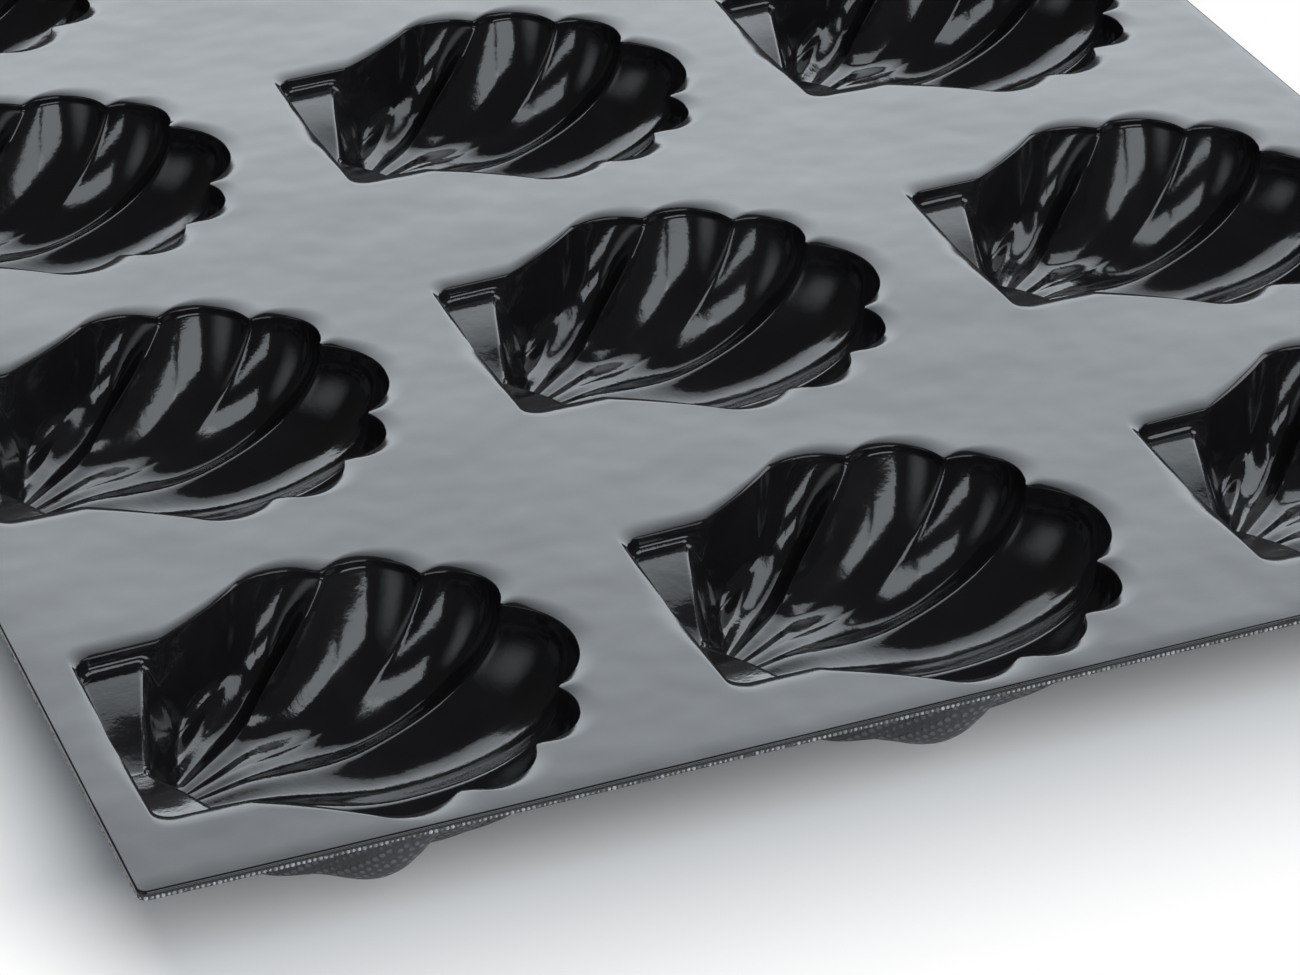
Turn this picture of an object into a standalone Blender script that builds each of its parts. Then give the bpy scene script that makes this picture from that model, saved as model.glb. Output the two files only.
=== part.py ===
"""Silicone scallop shell baking mat: twelve fluted shell cups in one flat flexible sheet.

The mat is a laminate. A black silicone coat faces the food, and a woven glass-fibre cloth
soaked in silicone backs it. Each layer is divided at the rim of every cup, so the flat
sheet and each cup of each layer is a piece of its own.

Metres, +Z up. The cups stand on Z = 0 and the origin is under the middle of the mat.
Every shell has its hinge towards -X and its fan towards +X.
"""

import math

import bmesh
import bpy
from mathutils import Vector

# The grid of cups
COLUMNS = 3
ROWS = 4
PITCH_X = 0.097
PITCH_Y = 0.097

# The sheet reaches past the outermost cups by these margins
HINGE_MARGIN = 0.0087
FAN_MARGIN = 0.0117
SIDE_MARGIN = 0.0052
SHEET_CORNER_RADIUS = 0.002
CORNER_SEGMENTS = 3

# The laminate
COAT_THICKNESS = 0.0005
CLOTH_THICKNESS = 0.0008
LAYER_GAP = 0.0003
SEAM_GAP = 0.0003

# The outline of one shell: straight rays leave the umbo and end in the notches of the rim
UMBO_X = 0.0045
HINGE_HALF_WIDTH = 0.0240
CENTRE_FLUTE_ANGLE = math.radians(23.4)
FLUTE_ANGLE = math.radians(14.1)
RAY_REACHES = (0.0670, 0.0630, 0.0541, 0.0433, 0.0266)
CENTRE_LOBE_RISE = 0.0082
LOBE_RISES = (0.0056, 0.0048, 0.0035, 0.0)
CENTRE_LOBE_SEGMENTS = 4
LOBE_SEGMENTS = (3, 3, 2, 1)
FLANGE_WIDTH = 0.0025

# The depth of one shell, given along its middle and along each ray
CUP_DEPTH = 0.0222
RAY_DEPTHS = (0.0223, 0.0218, 0.0216, 0.0171, 0.0152, 0.0150)
WALL_STEEPNESS = (2.5, 3.0, 2.9, 1.8, 8.0, 8.0)
WALL_ROUNDING = 0.47
FLUTE_SAG = 0.17
FLUTE_SLOPES = (0.0, 0.0, 0.1, 0.22, 0.22, 0.22)
EAR_DEPTH = 0.0055
EAR_STEEPNESS = 16.0
SHOULDER_WIDTH = 0.0028
LIP_DROP = 0.0008
RING_SHARES = (0.88, 0.48, 0.14)
FOOT_FLAT = 0.0003

ANGLE_TOLERANCE = 1e-6
MERGE_DISTANCE = 1e-6

DECK_HEIGHT = CUP_DEPTH + COAT_THICKNESS + LAYER_GAP + CLOTH_THICKNESS - FOOT_FLAT
CLOTH_DROP = COAT_THICKNESS + LAYER_GAP


def clear_scene():
    for old in list(bpy.data.objects):
        bpy.data.objects.remove(old, do_unlink=True)


def make_collection(name):
    collection = bpy.data.collections.new(name)
    bpy.context.scene.collection.children.link(collection)
    return collection


def make_material(name, colour, roughness):
    material = bpy.data.materials.new(name)
    material.use_nodes = True
    shader = material.node_tree.nodes["Principled BSDF"]
    shader.inputs["Base Color"].default_value = (*colour, 1.0)
    shader.inputs["Roughness"].default_value = roughness
    shader.inputs["Metallic"].default_value = 0.0
    return material


def bowed_line(start, end, rise, segments):
    """Points from start towards end, without end, on an arc that bulges to the right by rise."""
    chord = end - start
    length = chord.length
    along = chord / length
    outward = Vector((along.y, -along.x))
    if rise == 0.0:
        return [start + chord * (index / segments) for index in range(segments)]
    radius = (length ** 2 / 4 + rise ** 2) / (2 * rise)
    half_turn = 2 * math.atan(2 * rise / length)
    middle = (start + end) / 2 + outward * (rise - radius)
    turns = [half_turn * (2 * index / segments - 1) for index in range(segments)]
    return [middle + (along * math.sin(turn) + outward * math.cos(turn)) * radius for turn in turns]


def shell_outline():
    """The rim of one shell, counter-clockwise from the near hinge corner.

    Each entry is (x and y, flute share, flute angle). The share is 0 on a rib and 1 in the
    middle of a flute, and the angle is that between the flute's two ribs.
    """
    side = []
    for index, reach in enumerate(RAY_REACHES):
        angle = CENTRE_FLUTE_ANGLE / 2 + FLUTE_ANGLE * index
        side.append(Vector((UMBO_X + reach * math.cos(angle), reach * math.sin(angle))))
    side.append(Vector((0.0, HINGE_HALF_WIDTH)))
    near_side = [Vector((point.x, -point.y)) for point in reversed(side)]
    notches = near_side + side
    spans = [(rise, count, FLUTE_ANGLE) for rise, count in zip(LOBE_RISES, LOBE_SEGMENTS)]
    spans.append((0.0, 1, FLUTE_ANGLE))
    middle_span = (CENTRE_LOBE_RISE, CENTRE_LOBE_SEGMENTS, CENTRE_FLUTE_ANGLE)
    spans = spans[::-1] + [middle_span] + spans
    rim = []
    for (rise, count, flute_angle), start, end in zip(spans, notches, notches[1:]):
        for index, point in enumerate(bowed_line(start, end, rise, count)):
            share = 1 - (2 * index / count - 1) ** 2
            rim.append((point, share, flute_angle))
    rim.append((notches[-1], 0.0, FLUTE_ANGLE))
    return rim


def offset_outline(points, distance):
    """The closed outline moved outwards by distance, corners kept sharp."""
    moved = []
    for index, point in enumerate(points):
        before = (point - points[index - 1]).normalized()
        after = (points[(index + 1) % len(points)] - point).normalized()
        bisector = Vector((before.y + after.y, -before.x - after.x)).normalized()
        moved.append(point + bisector * (distance / bisector.dot(Vector((after.y, -after.x)))))
    return moved


def along_rays(angle, values):
    """A value at an angle from the middle, between those given for the middle and each ray."""
    first = CENTRE_FLUTE_ANGLE / 2
    place = angle / first if angle < first else 1 + (angle - first) / FLUTE_ANGLE
    index = min(int(place), len(values) - 2)
    return values[index] + (values[index + 1] - values[index]) * (place - index)


def shell_depth(radius, angle, reach, share, flute_angle):
    """How far the cup lies below the sheet at a radius and an angle from the umbo.

    The fan is a bowl whose wall follows the rim, with a round-bottomed flute between each two
    ribs. A flute lies deeper than its ribs, and its wall starts to climb earlier. The shoulder
    line drops from the flat ears into the bowl.
    """
    angle = abs(angle)
    along = radius / reach
    shoulder_angle = CENTRE_FLUTE_ANGLE / 2 + FLUTE_ANGLE * (len(RAY_REACHES) - 1)
    if angle >= shoulder_angle - ANGLE_TOLERANCE:
        return EAR_DEPTH * (1 - along ** EAR_STEEPNESS) ** WALL_ROUNDING
    slope = 1 - along_rays(angle, FLUTE_SLOPES) * share
    wall = (1 - along ** (along_rays(angle, WALL_STEEPNESS) * slope)) ** WALL_ROUNDING
    flute = FLUTE_SAG * share * radius * flute_angle
    bowl = (along_rays(angle, RAY_DEPTHS) + flute) * wall
    past_shoulder = radius * math.sin(shoulder_angle - angle)
    drop = 1 - math.exp(-past_shoulder / SHOULDER_WIDTH)
    return min(bowl, EAR_DEPTH + (bowl - EAR_DEPTH) * drop, CUP_DEPTH)


def cup_surface():
    """The food side of one cup as an open mesh: flat flange, lip, rings of the shell, umbo."""
    rim = shell_outline()
    points = [point for point, share, flute_angle in rim]
    mesh = bmesh.new()
    rings = [[(point.x, point.y, 0.0) for point in offset_outline(points, FLANGE_WIDTH)]]
    rings.append([(point.x, point.y, -LIP_DROP) for point in points])
    umbo = Vector((UMBO_X, 0.0))
    for ring_share in RING_SHARES:
        ring = []
        for point, share, flute_angle in rim:
            arm = point - umbo
            radius = arm.length * ring_share
            depth = shell_depth(radius, math.atan2(arm.y, arm.x), arm.length, share, flute_angle)
            place = umbo + arm * ring_share
            ring.append((place.x, place.y, -depth))
        rings.append(ring)
    rows = [[mesh.verts.new(place) for place in ring] for ring in rings]
    count = len(rim)
    for outer, inner in zip(rows, rows[1:]):
        for index in range(count):
            after = (index + 1) % count
            mesh.faces.new((outer[index], outer[after], inner[after], inner[index]))
    pole = mesh.verts.new((UMBO_X, 0.0, -EAR_DEPTH))
    for index in range(count):
        mesh.faces.new((rows[-1][index], rows[-1][(index + 1) % count], pole))
    mesh.normal_update()
    return mesh


def sink_surface(mesh, distance):
    """Move an open surface down its own normals, and its outer edge straight down."""
    mesh.normal_update()
    up = Vector((0.0, 0.0, 1.0))
    steps = [(up if vert.is_boundary else vert.normal * vert.calc_shell_factor()) * distance
             for vert in mesh.verts]
    for vert, step in zip(mesh.verts, steps):
        vert.co -= step


def square_edge(mesh, edge_count):
    """Stand the cut edge upright: each lower edge vertex goes under its upper one.

    The wall modifier lists the lower vertices after the upper ones, in the same order.
    """
    mesh.verts.ensure_lookup_table()
    lower_start = len(mesh.verts) // 2
    for index in range(edge_count):
        mesh.verts[lower_start + index].co.xy = mesh.verts[index].co.xy


def flatten_foot(mesh, lowest):
    """Level every vertex that lies below the height of the foot."""
    for vert in mesh.verts:
        vert.co.z = max(vert.co.z, lowest)


def cup_mesh(name, sink, thickness):
    """One cup of one layer, with the top of the sheet at DECK_HEIGHT."""
    surface = cup_surface()
    if sink:
        sink_surface(surface, sink)
    bmesh.ops.translate(surface, vec=(0.0, 0.0, DECK_HEIGHT), verts=surface.verts)
    data = bpy.data.meshes.new(name)
    surface.to_mesh(data)
    surface.free()
    shell = bpy.data.objects.new(name, data)
    bpy.context.scene.collection.objects.link(shell)
    wall = shell.modifiers.new("wall", "SOLIDIFY")
    wall.thickness = thickness
    wall.offset = -1.0
    wall.use_even_offset = True
    bpy.context.view_layer.update()
    graph = bpy.context.evaluated_depsgraph_get()
    solid = bpy.data.meshes.new_from_object(shell.evaluated_get(graph))
    bpy.data.objects.remove(shell, do_unlink=True)
    closed = bmesh.new()
    closed.from_mesh(solid)
    square_edge(closed, len(shell_outline()))
    flatten_foot(closed, 0.0)
    bmesh.ops.triangulate(closed, faces=closed.faces)
    closed.to_mesh(solid)
    closed.free()
    solid.name = name
    return solid


def sheet_size():
    """Length and width of the sheet, from the cups of the outermost columns and rows."""
    rim = [point for point, share, flute_angle in shell_outline()]
    shell_length = max(point.x for point in rim)
    shell_half_width = max(point.y for point in rim)
    length = HINGE_MARGIN + PITCH_X * (COLUMNS - 1) + shell_length + FAN_MARGIN
    width = PITCH_Y * (ROWS - 1) + 2 * (shell_half_width + SIDE_MARGIN)
    return length, width


def cup_places():
    """Hinge centre of every cup, with its row from the front and its column from the left."""
    first_x = HINGE_MARGIN - sheet_size()[0] / 2
    first_y = -PITCH_Y * (ROWS - 1) / 2
    for row in range(ROWS):
        for column in range(COLUMNS):
            yield row + 1, column + 1, Vector((first_x + PITCH_X * column, first_y + PITCH_Y * row))


def add_spline(curve, points):
    spline = curve.splines.new("POLY")
    spline.points.add(len(points) - 1)
    for place, point in zip(spline.points, points):
        place.co = (point.x, point.y, 0.0, 1.0)
    spline.use_cyclic_u = True


def sheet_corners():
    """The outer edge of the sheet, with round corners."""
    length, width = sheet_size()
    half_length = length / 2 - SHEET_CORNER_RADIUS
    half_width = width / 2 - SHEET_CORNER_RADIUS
    centres = ((half_length, half_width), (-half_length, half_width),
               (-half_length, -half_width), (half_length, -half_width))
    points = []
    for quarter, (x, y) in enumerate(centres):
        for step in range(CORNER_SEGMENTS + 1):
            turn = math.pi / 2 * (quarter + step / CORNER_SEGMENTS)
            points.append(Vector((x + SHEET_CORNER_RADIUS * math.cos(turn),
                                  y + SHEET_CORNER_RADIUS * math.sin(turn))))
    return points


def sheet_mesh(name, thickness):
    """A flat sheet with one shell-shaped opening at each cup, centred on its own thickness."""
    curve = bpy.data.curves.new(name, "CURVE")
    curve.dimensions = "2D"
    curve.fill_mode = "BOTH"
    curve.extrude = thickness / 2
    add_spline(curve, sheet_corners())
    rim = [point for point, share, flute_angle in shell_outline()]
    opening = offset_outline(rim, FLANGE_WIDTH + SEAM_GAP)
    for row, column, hinge in cup_places():
        add_spline(curve, [point + hinge for point in opening])
    flat = bpy.data.objects.new(name, curve)
    bpy.context.scene.collection.objects.link(flat)
    bpy.context.view_layer.update()
    graph = bpy.context.evaluated_depsgraph_get()
    solid = bpy.data.meshes.new_from_object(flat.evaluated_get(graph))
    bpy.data.objects.remove(flat, do_unlink=True)
    bpy.data.curves.remove(curve)
    closed = bmesh.new()
    closed.from_mesh(solid)
    bmesh.ops.remove_doubles(closed, verts=closed.verts, dist=MERGE_DISTANCE)
    bmesh.ops.recalc_face_normals(closed, faces=closed.faces)
    closed.to_mesh(solid)
    closed.free()
    solid.name = name
    return solid


def place_piece(collection, name, mesh, location, material):
    piece = bpy.data.objects.new(name, mesh)
    piece.location = location
    collection.objects.link(piece)
    if not mesh.materials:
        mesh.materials.append(material)
    return piece


def build_layer(collection, prefix, material, sink, thickness):
    """The sheet of one layer and its cups."""
    sheet = sheet_mesh(prefix + "_sheet", thickness)
    middle = DECK_HEIGHT - sink - thickness / 2
    place_piece(collection, prefix + "_sheet", sheet, (0.0, 0.0, middle), material)
    cup = cup_mesh(prefix + "_cup", sink, thickness)
    for row, column, hinge in cup_places():
        name = f"{prefix}_cup_row{row}_column{column}"
        place_piece(collection, name, cup, (hinge.x, hinge.y, 0.0), material)


def build_mat():
    clear_scene()
    collection = make_collection("scallop_shell_mat")
    silicone = make_material("black_silicone", (0.020, 0.020, 0.024), 0.15)
    cloth = make_material("glass_cloth_backing", (0.045, 0.045, 0.048), 0.55)
    build_layer(collection, "silicone", silicone, 0.0, COAT_THICKNESS)
    build_layer(collection, "glass_cloth", cloth, CLOTH_DROP, CLOTH_THICKNESS)


build_mat()
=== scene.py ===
"""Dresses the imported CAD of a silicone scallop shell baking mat.

The mat is a black silicone coat on a woven glass-fibre backing, with twelve fluted shell cups.
The file is laid out as an add-on and is run as a script. Everything is in metres.
"""

import math

import bpy
import numpy as np
from bpy.props import FloatProperty, FloatVectorProperty, PointerProperty
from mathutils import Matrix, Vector
from mathutils.geometry import delaunay_2d_cdt


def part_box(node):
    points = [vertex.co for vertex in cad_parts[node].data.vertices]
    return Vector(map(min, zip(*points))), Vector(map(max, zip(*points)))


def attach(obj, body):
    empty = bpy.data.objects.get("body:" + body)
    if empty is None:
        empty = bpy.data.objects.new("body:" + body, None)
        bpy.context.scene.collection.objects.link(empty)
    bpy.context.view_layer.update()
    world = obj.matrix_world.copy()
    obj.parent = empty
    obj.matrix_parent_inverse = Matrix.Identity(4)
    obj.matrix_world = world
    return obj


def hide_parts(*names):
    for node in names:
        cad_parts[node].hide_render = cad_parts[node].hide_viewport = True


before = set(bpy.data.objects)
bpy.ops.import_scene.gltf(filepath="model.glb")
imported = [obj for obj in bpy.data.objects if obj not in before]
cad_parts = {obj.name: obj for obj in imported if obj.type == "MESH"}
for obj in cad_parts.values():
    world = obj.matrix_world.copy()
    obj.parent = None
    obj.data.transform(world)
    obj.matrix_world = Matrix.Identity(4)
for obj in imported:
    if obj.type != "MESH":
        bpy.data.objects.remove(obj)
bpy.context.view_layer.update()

bl_info = {
    "name": "Scallop shell baking mat",
    "version": (1, 0, 0),
    "blender": (4, 5, 0),
    "location": "View3D > Sidebar > Baking mat",
    "description": "Builds the silicone coat, the glass cloth backing and the studio",
    "category": "Object",
}

SHEET_NODE = "silicone_sheet"
CLOTH_NODE = "glass_cloth_sheet"
DECK_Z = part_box(SHEET_NODE)[1].z
SHEET_HALF_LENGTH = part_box(SHEET_NODE)[1].x
SHEET_HALF_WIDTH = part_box(SHEET_NODE)[1].y
ROWS = 4
COLUMNS = 3
CAD_FLANGE = 0.0025

# How finely a cup is meshed: points along its rim, and rings from the flange to the umbo
CORNER_POINTS = 8
EAR_POINTS = 30
HINGE_POINTS = 36
LOBE_POINTS = (16, 16, 18, 18, 26, 18, 18, 16, 16)
DIP_RINGS = 6
LIP_RINGS = 9
COLLAR_SHARES = np.array((0.33, 0.67, 1.0))
WALL_RINGS = 20
WALL_SHARE = 0.80
WALL_SPACING = 1.15
FLOOR_RINGS = 28

# Rounds of smoothing of the rim and of the directions in which the wall gets its thickness
RIM_ROUNDS = 2
NORMAL_ROUNDS = 24
SHARP_ANGLE = math.radians(50.0)

# Start and width of the change to the outer sag, and of the change to the side flutes
SAG_BLEND = (0.40, 0.30)
SIDE_FLUTES = (math.radians(25.0), math.radians(9.0))

# How wide the level part's end is, and how far before its line the shoulder starts
LEVEL_ANGLE_FADE = math.radians(24.0)
SHOULDER_LEAD = 0.0008

# The laminate is stretched thinner by this share, down to this depth
STRETCH = 0.40
STRETCH_DEPTH = 0.012

# The grain of the skin starts this far below the deck and is full a little deeper
HOLLOW_START = 0.001
HOLLOW_FADE = 0.002

# Noises of the finishes: scale per metre, detail, roughness and distortion
BLOOM_NOISE = (38.0, 5.0, 0.62, 0.6)
SPECK_NOISE = (2600.0, 1.0)
SMEAR_NOISE = (16.0, 3.0, 0.55, 1.2)
GRAIN_NOISE = (420.0, 3.0, 0.55)
WANDER_NOISE = (22.0, 3.0, 0.5)
FINE_NOISE = (1500.0, 2.0, 0.5)
PATCH_NOISE = (60.0, 3.0, 0.6)
CLOTH_GRAIN_NOISE = (2200.0, 2.0)
WORN_NOISE = (700.0, 3.0, 0.6)

# Heights of the fine relief that stays in the materials
GRAIN_HEIGHT = 0.00004
WANDER_HEIGHT = 0.0011
FINE_HEIGHT = 0.000006
KNUCKLE_HEIGHT = 0.00022
CLOTH_GRAIN_HEIGHT = 0.00004

# The cut threads: their radius, how far in and how deep they sit, and how their sizes vary
THREAD_RADIUS = 0.00036
THREAD_INSET = 0.6 * THREAD_RADIUS
THREAD_DROP_SHARE = 0.52
THREAD_SCALES = (0.75, 1.15)
THREAD_SEED = 7

# The meshes of the two sheets and their edges
EDGE_STEP = 0.0020
EDGE_RINGS = 5
LEAST_CORNER = 0.0005
CLOTH_INSET = 0.00015
FRAY_WAVES = (937.0, 411.0)
CUT_EDGE = (
    # share of the thickness, its wave, outward step, its wave, its fray
    (0.25, 0.0, 0.00008, 0.0, 0.00003),
    (0.70, 0.0, 0.00006, 0.00005, 0.0),
    (0.94, -0.05, -0.00002, 0.00009, 0.00003),
)
HOLE_CLEARANCE = 0.4
MERGE_DISTANCE = 1e-9
LEAST_AREA = 1e-14

# The stage. The floor has a painted glow for the camera and in reflections, which fades in towards
# the mat and so paints a soft shadow round it. Each fade gives how far inside the sheet's edge it
# starts, and how fast it is
FLOOR_HALF_SIZE = 4.0
FLOOR_ROUGHNESS = 0.6
GLOW_FADE_FRONT = (0.040, 13.0)
GLOW_FADE_SIDES = (0.008, 30.0)
WORLD_LIGHT = 0.08
LAMP_TINT = (0.93, 1.0, 1.06)
LAMPS = (
    # name, place, target, width, height, radiance setting, share at the top, soft edge
    ("back_softbox", (0.68, 2.09, 2.20), (0.0, 0.0, 2.20), 4.00, 2.90, "back_light", 0.40, 0.0),
    ("right_softbox", (1.60, 0.15, 0.80), (0.0, 0.0, 0.0), 0.8, 1.1, "right_light", 1.0, 0.0),
    ("front_softbox", (0.05, -1.04, 1.15), (0.0, 0.0, 0.0), 0.85, 0.55, "front_light", 1.0, 0.0),
    ("front_right_softbox", (0.73, -0.82, 1.10), (0.0, 0.0, 0.0), 0.55, 0.60, "front_light",
     1.0, 0.0),
    ("front_low", (0.10, -1.50, 0.26), (0.0, 0.0, 0.05), 1.20, 0.42, "front_light", 1.0, 0.0),
    ("left_fill", (-1.40, -0.50, 0.90), (0.0, 0.0, 0.0), 1.7, 1.6, "left_light", 1.0, 0.45),
)


# Settings

def setting(name, description, default, **options):
    """A property with its label and its help, of one number or of a row of them."""
    options.update(name=name, description=description, default=default)
    if isinstance(default, tuple):
        return FloatVectorProperty(size=len(default), **options)
    return FloatProperty(**options)


def metres(name, description, default):
    return setting(name, description, default, unit="LENGTH")


def degrees(name, description, default):
    return setting(name, description, math.radians(default), subtype="ANGLE")


def shade(name, description, default):
    return setting(name, description, default, subtype="COLOR")


class ShellSettings(bpy.types.PropertyGroup):
    """The form of one shell cup."""

    umbo: metres("Umbo", "From the hinge line to the point where the ribs meet", 0.0048)
    hinge_half: metres("Half hinge", "Half the length of the straight hinge side", 0.0238)
    hinge_corner: metres("Hinge corner", "Radius of the two corners of the hinge side", 0.0030)
    centre_angle: degrees("Middle flute", "Angle of the middle flute", 23.4)
    flute_angle: degrees("Side flute", "Angle of each side flute", 14.1)
    rib_reach: metres(
        "Rib reach", "From the umbo to the rim along each rib, middle ones first",
        (0.0666, 0.0626, 0.0537, 0.0429, 0.0262))
    centre_rise: metres(
        "Middle lobe", "How far the middle lobe bulges past its two notches", 0.0082)
    lobe_rise: metres(
        "Side lobes", "How far each side lobe bulges past its two notches",
        (0.0056, 0.0048, 0.0035, -0.0004))
    floor_depth: metres("Floor depth", "Depth of the level land the cup stands on", 0.0226)
    rib_depth: metres(
        "Rib depth", "Depth of the bowl along the middle and along each rib",
        (0.0207, 0.0206, 0.0203, 0.0162, 0.0138, 0.0150))
    rib_steepness: setting(
        "Wall steepness", "How late the wall climbs, along the middle and ribs",
        (3.4, 3.8, 5.8, 2.6, 12.0, 6.4))
    wall_rounding: setting(
        "Wall rounding", "Power that rounds the wall into the floor",
        (0.62, 0.51, 0.86, 0.99, 0.64, 0.59))
    flute_sag: setting(
        "Flute sag", "Depth of each flute under its ribs, as a share of its width",
        (0.145, 0.216, 0.027, 0.182, 0.133))
    near_sag: setting(
        "Sag near the umbo", "The same share for the part close to the umbo",
        (0.10, 0.11, 0.10, 0.11, 0.12))
    level_radius: metres(
        "Level part", "Radius of the more level part of the bowl at the umbo", 0.0160)
    level_depth: metres("Level depth", "Depth of that part", 0.0165)
    level_fade: metres("Level fade", "Width over which that part ends", 0.0260)
    level_angle: degrees(
        "Level angle", "Angle from the middle at which that part starts to end", 46.0)
    level_share: setting("Level share", "How far the ribs share one depth there", 0.95)
    flute_power: setting(
        "Flute power", "1 for a round-bottomed flute, more for a narrower one", 1.39)
    flute_slope: setting(
        "Flute slope", "How much earlier the wall climbs in a flute than on a rib", -0.127)
    ear_depth: metres("Ear depth", "Depth of the two ears at the hinge corners", 0.0018)
    ear_fall: setting("Ear fall", "Slope of the ears at their sides", 0.13)
    ear_curve: setting("Ear curve", "How much steeper the ears get per metre inwards", 1.0)
    ear_dimple: metres("Ear dimple", "How far the ears dip towards the umbo", 0.0014)
    dimple_radius: metres("Dimple radius", "Reach of that dip", 0.0100)
    shoulder_angle: degrees("Shoulder angle", "Angle from the middle to the shoulder line", 74.3)
    shoulder_width: metres(
        "Shoulder", "Width over which the surface drops from the ears to the bowl", 0.0032)
    shoulder_power: setting("Shoulder power", "How suddenly that drop starts", 2.5)
    fillet: metres(
        "Ear fillet", "Width of the hollow round at the foot of the ears' walls", 0.0016)
    crest_round: metres(
        "Crest radius", "Rounding of the rib crests and of the shoulder line", 0.0008)
    flange: metres("Flange", "Width of the flat strip of sheet that belongs to a cup", 0.0047)
    dip_width: metres("Dip", "Width of the gentle dip of the sheet towards the lip", 0.0037)
    dip_slope: degrees("Dip slope", "Slope where the dip meets the lip", 13.5)
    lip_outside: metres("Lip outside", "From the rim outwards to the start of the lip", 0.0008)
    lip_radius: metres("Lip radius", "Radius of the round lip", 0.0004)
    collar: metres("Collar", "Height of the steep band under the lip", 0.0010)
    lip_end: degrees("Lip end", "Slope where the lip meets the wall", 84.0)


class LaminateSettings(bpy.types.PropertyGroup):
    """The two layers of the mat."""

    coat: metres("Coat", "Thickness of the silicone coat", 0.00080)
    cloth: metres("Cloth", "Thickness of the woven backing", 0.00078)
    layer_gap: metres("Layer gap", "Gap between the two layers", 0.00002)
    corner: metres("Corner radius", "Radius of the corners of the sheet", 0.0020)
    edge_round: metres("Edge radius", "Rounding of the top edge of the coat", 0.00055)
    edge_inset: metres(
        "Edge inset", "How far the coat stays inside the tips of the cut threads", 0.00030)
    sag: metres("Sag", "Deepest place of the gentle waves of the soft sheet", 0.00070)
    weave: metres("Weave", "Distance from one thread of the cloth to the next", 0.00180)
    deck_step: metres("Deck step", "Distance between the inner points of the sheet's mesh", 0.0050)


class FinishSettings(bpy.types.PropertyGroup):
    """Colours and gloss."""

    silicone_dark: shade("Silicone", "Colour of the silicone", (0.0075, 0.0070, 0.0080))
    silicone_pale: shade(
        "Silicone bloom", "Colour of its faint dusty bloom", (0.0150, 0.0150, 0.0165))
    silicone_rough: setting("Silicone roughness", "Roughness of the clean silicone", 0.09)
    silicone_ior: setting("Silicone IOR", "Index of refraction of silicone rubber", 1.43)
    cloth_dark: shade("Cloth hollows", "Colour between the threads", (0.030, 0.030, 0.032))
    cloth_pale: shade("Cloth threads", "Colour on the threads", (0.105, 0.105, 0.110))
    cloth_rough: setting("Cloth roughness", "Roughness of the backing", 0.55)
    thread: shade("Cut threads", "Colour of the cut thread ends", (0.42, 0.42, 0.43))


class StageSettings(bpy.types.PropertyGroup):
    """The camera, the lamps and the floor."""

    camera_place: setting(
        "Camera", "Place of the camera", (-0.27909, -0.75785, 0.44085),
        subtype="TRANSLATION", unit="LENGTH")
    camera_turn: setting(
        "Camera turn", "Rotation of the camera",
        (math.radians(59.0396), math.radians(1.0548), math.radians(-21.5668)), subtype="EULER")
    lens: setting("Lens", "Focal length for a 36 mm sensor, in mm", 129.584)
    back_light: setting("Back softbox", "Radiance of the softbox behind the mat", 3.9)
    right_light: setting("Right softbox", "Radiance of the softbox at the right", 3.0)
    front_light: setting("Front softboxes", "Radiance of the softboxes at the front", 4.3)
    left_light: setting("Left fill", "Radiance of the dim panel at the left", 1.1)
    floor_colour: shade("Floor", "Colour of the floor", (0.59, 0.61, 0.64))


# Meshes from arrays

def mesh_from_faces(name, points, faces):
    """A mesh from an array of points and a list of face arrays, each with one corner count."""
    mesh = bpy.data.meshes.new(name)
    corners = np.concatenate([face.ravel() for face in faces]).astype(np.int32)
    counts = np.concatenate([np.full(len(face), face.shape[1]) for face in faces])
    starts = np.concatenate(([0], np.cumsum(counts)[:-1])).astype(np.int32)
    mesh.vertices.add(len(points))
    mesh.vertices.foreach_set("co", np.ascontiguousarray(points, dtype=np.float32).ravel())
    mesh.loops.add(len(corners))
    mesh.loops.foreach_set("vertex_index", corners)
    mesh.polygons.add(len(counts))
    mesh.polygons.foreach_set("loop_start", starts)
    mesh.update(calc_edges=True)
    mesh.validate()
    mesh.polygons.foreach_set("use_smooth", np.ones(len(mesh.polygons), dtype=bool))
    mesh.set_sharp_from_angle(angle=SHARP_ANGLE)
    return mesh


def ring_quads(outer, inner):
    """Quads between two closed rings of point numbers, facing up if they go counter-clockwise."""
    return np.stack((outer, np.roll(outer, -1), np.roll(inner, -1), inner), axis=1)


def add_piece(name, mesh, material, node_names):
    """Link a finished mesh as a piece that stands for CAD nodes."""
    mesh.materials.clear()
    mesh.materials.append(material)
    piece = bpy.data.objects.new(name, mesh)
    bpy.context.scene.collection.objects.link(piece)
    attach(piece, "root")
    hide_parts(*node_names)
    return piece


# The form of one shell

def bowed_line(start, end, rise, count):
    """Points from start towards end, without end, on an arc that bulges to the right by rise.

    They stand closer together at both ends, where the notches are.
    """
    even = np.arange(count) / count
    place = 0.5 * even + 0.25 * (1 - np.cos(math.pi * even))
    chord = end - start
    if rise == 0.0:
        return start + chord * place[:, None]
    length = np.hypot(*chord)
    along = chord / length
    outward = np.array((along[1], -along[0]))
    radius = (length ** 2 / 4 + rise ** 2) / (2 * rise)
    half_turn = 2 * math.atan(2 * rise / length)
    middle = (start + end) / 2 + outward * (rise - radius)
    turns = half_turn * (2 * place - 1)
    return middle + (along * np.sin(turns)[:, None] + outward * np.cos(turns)[:, None]) * radius


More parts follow.
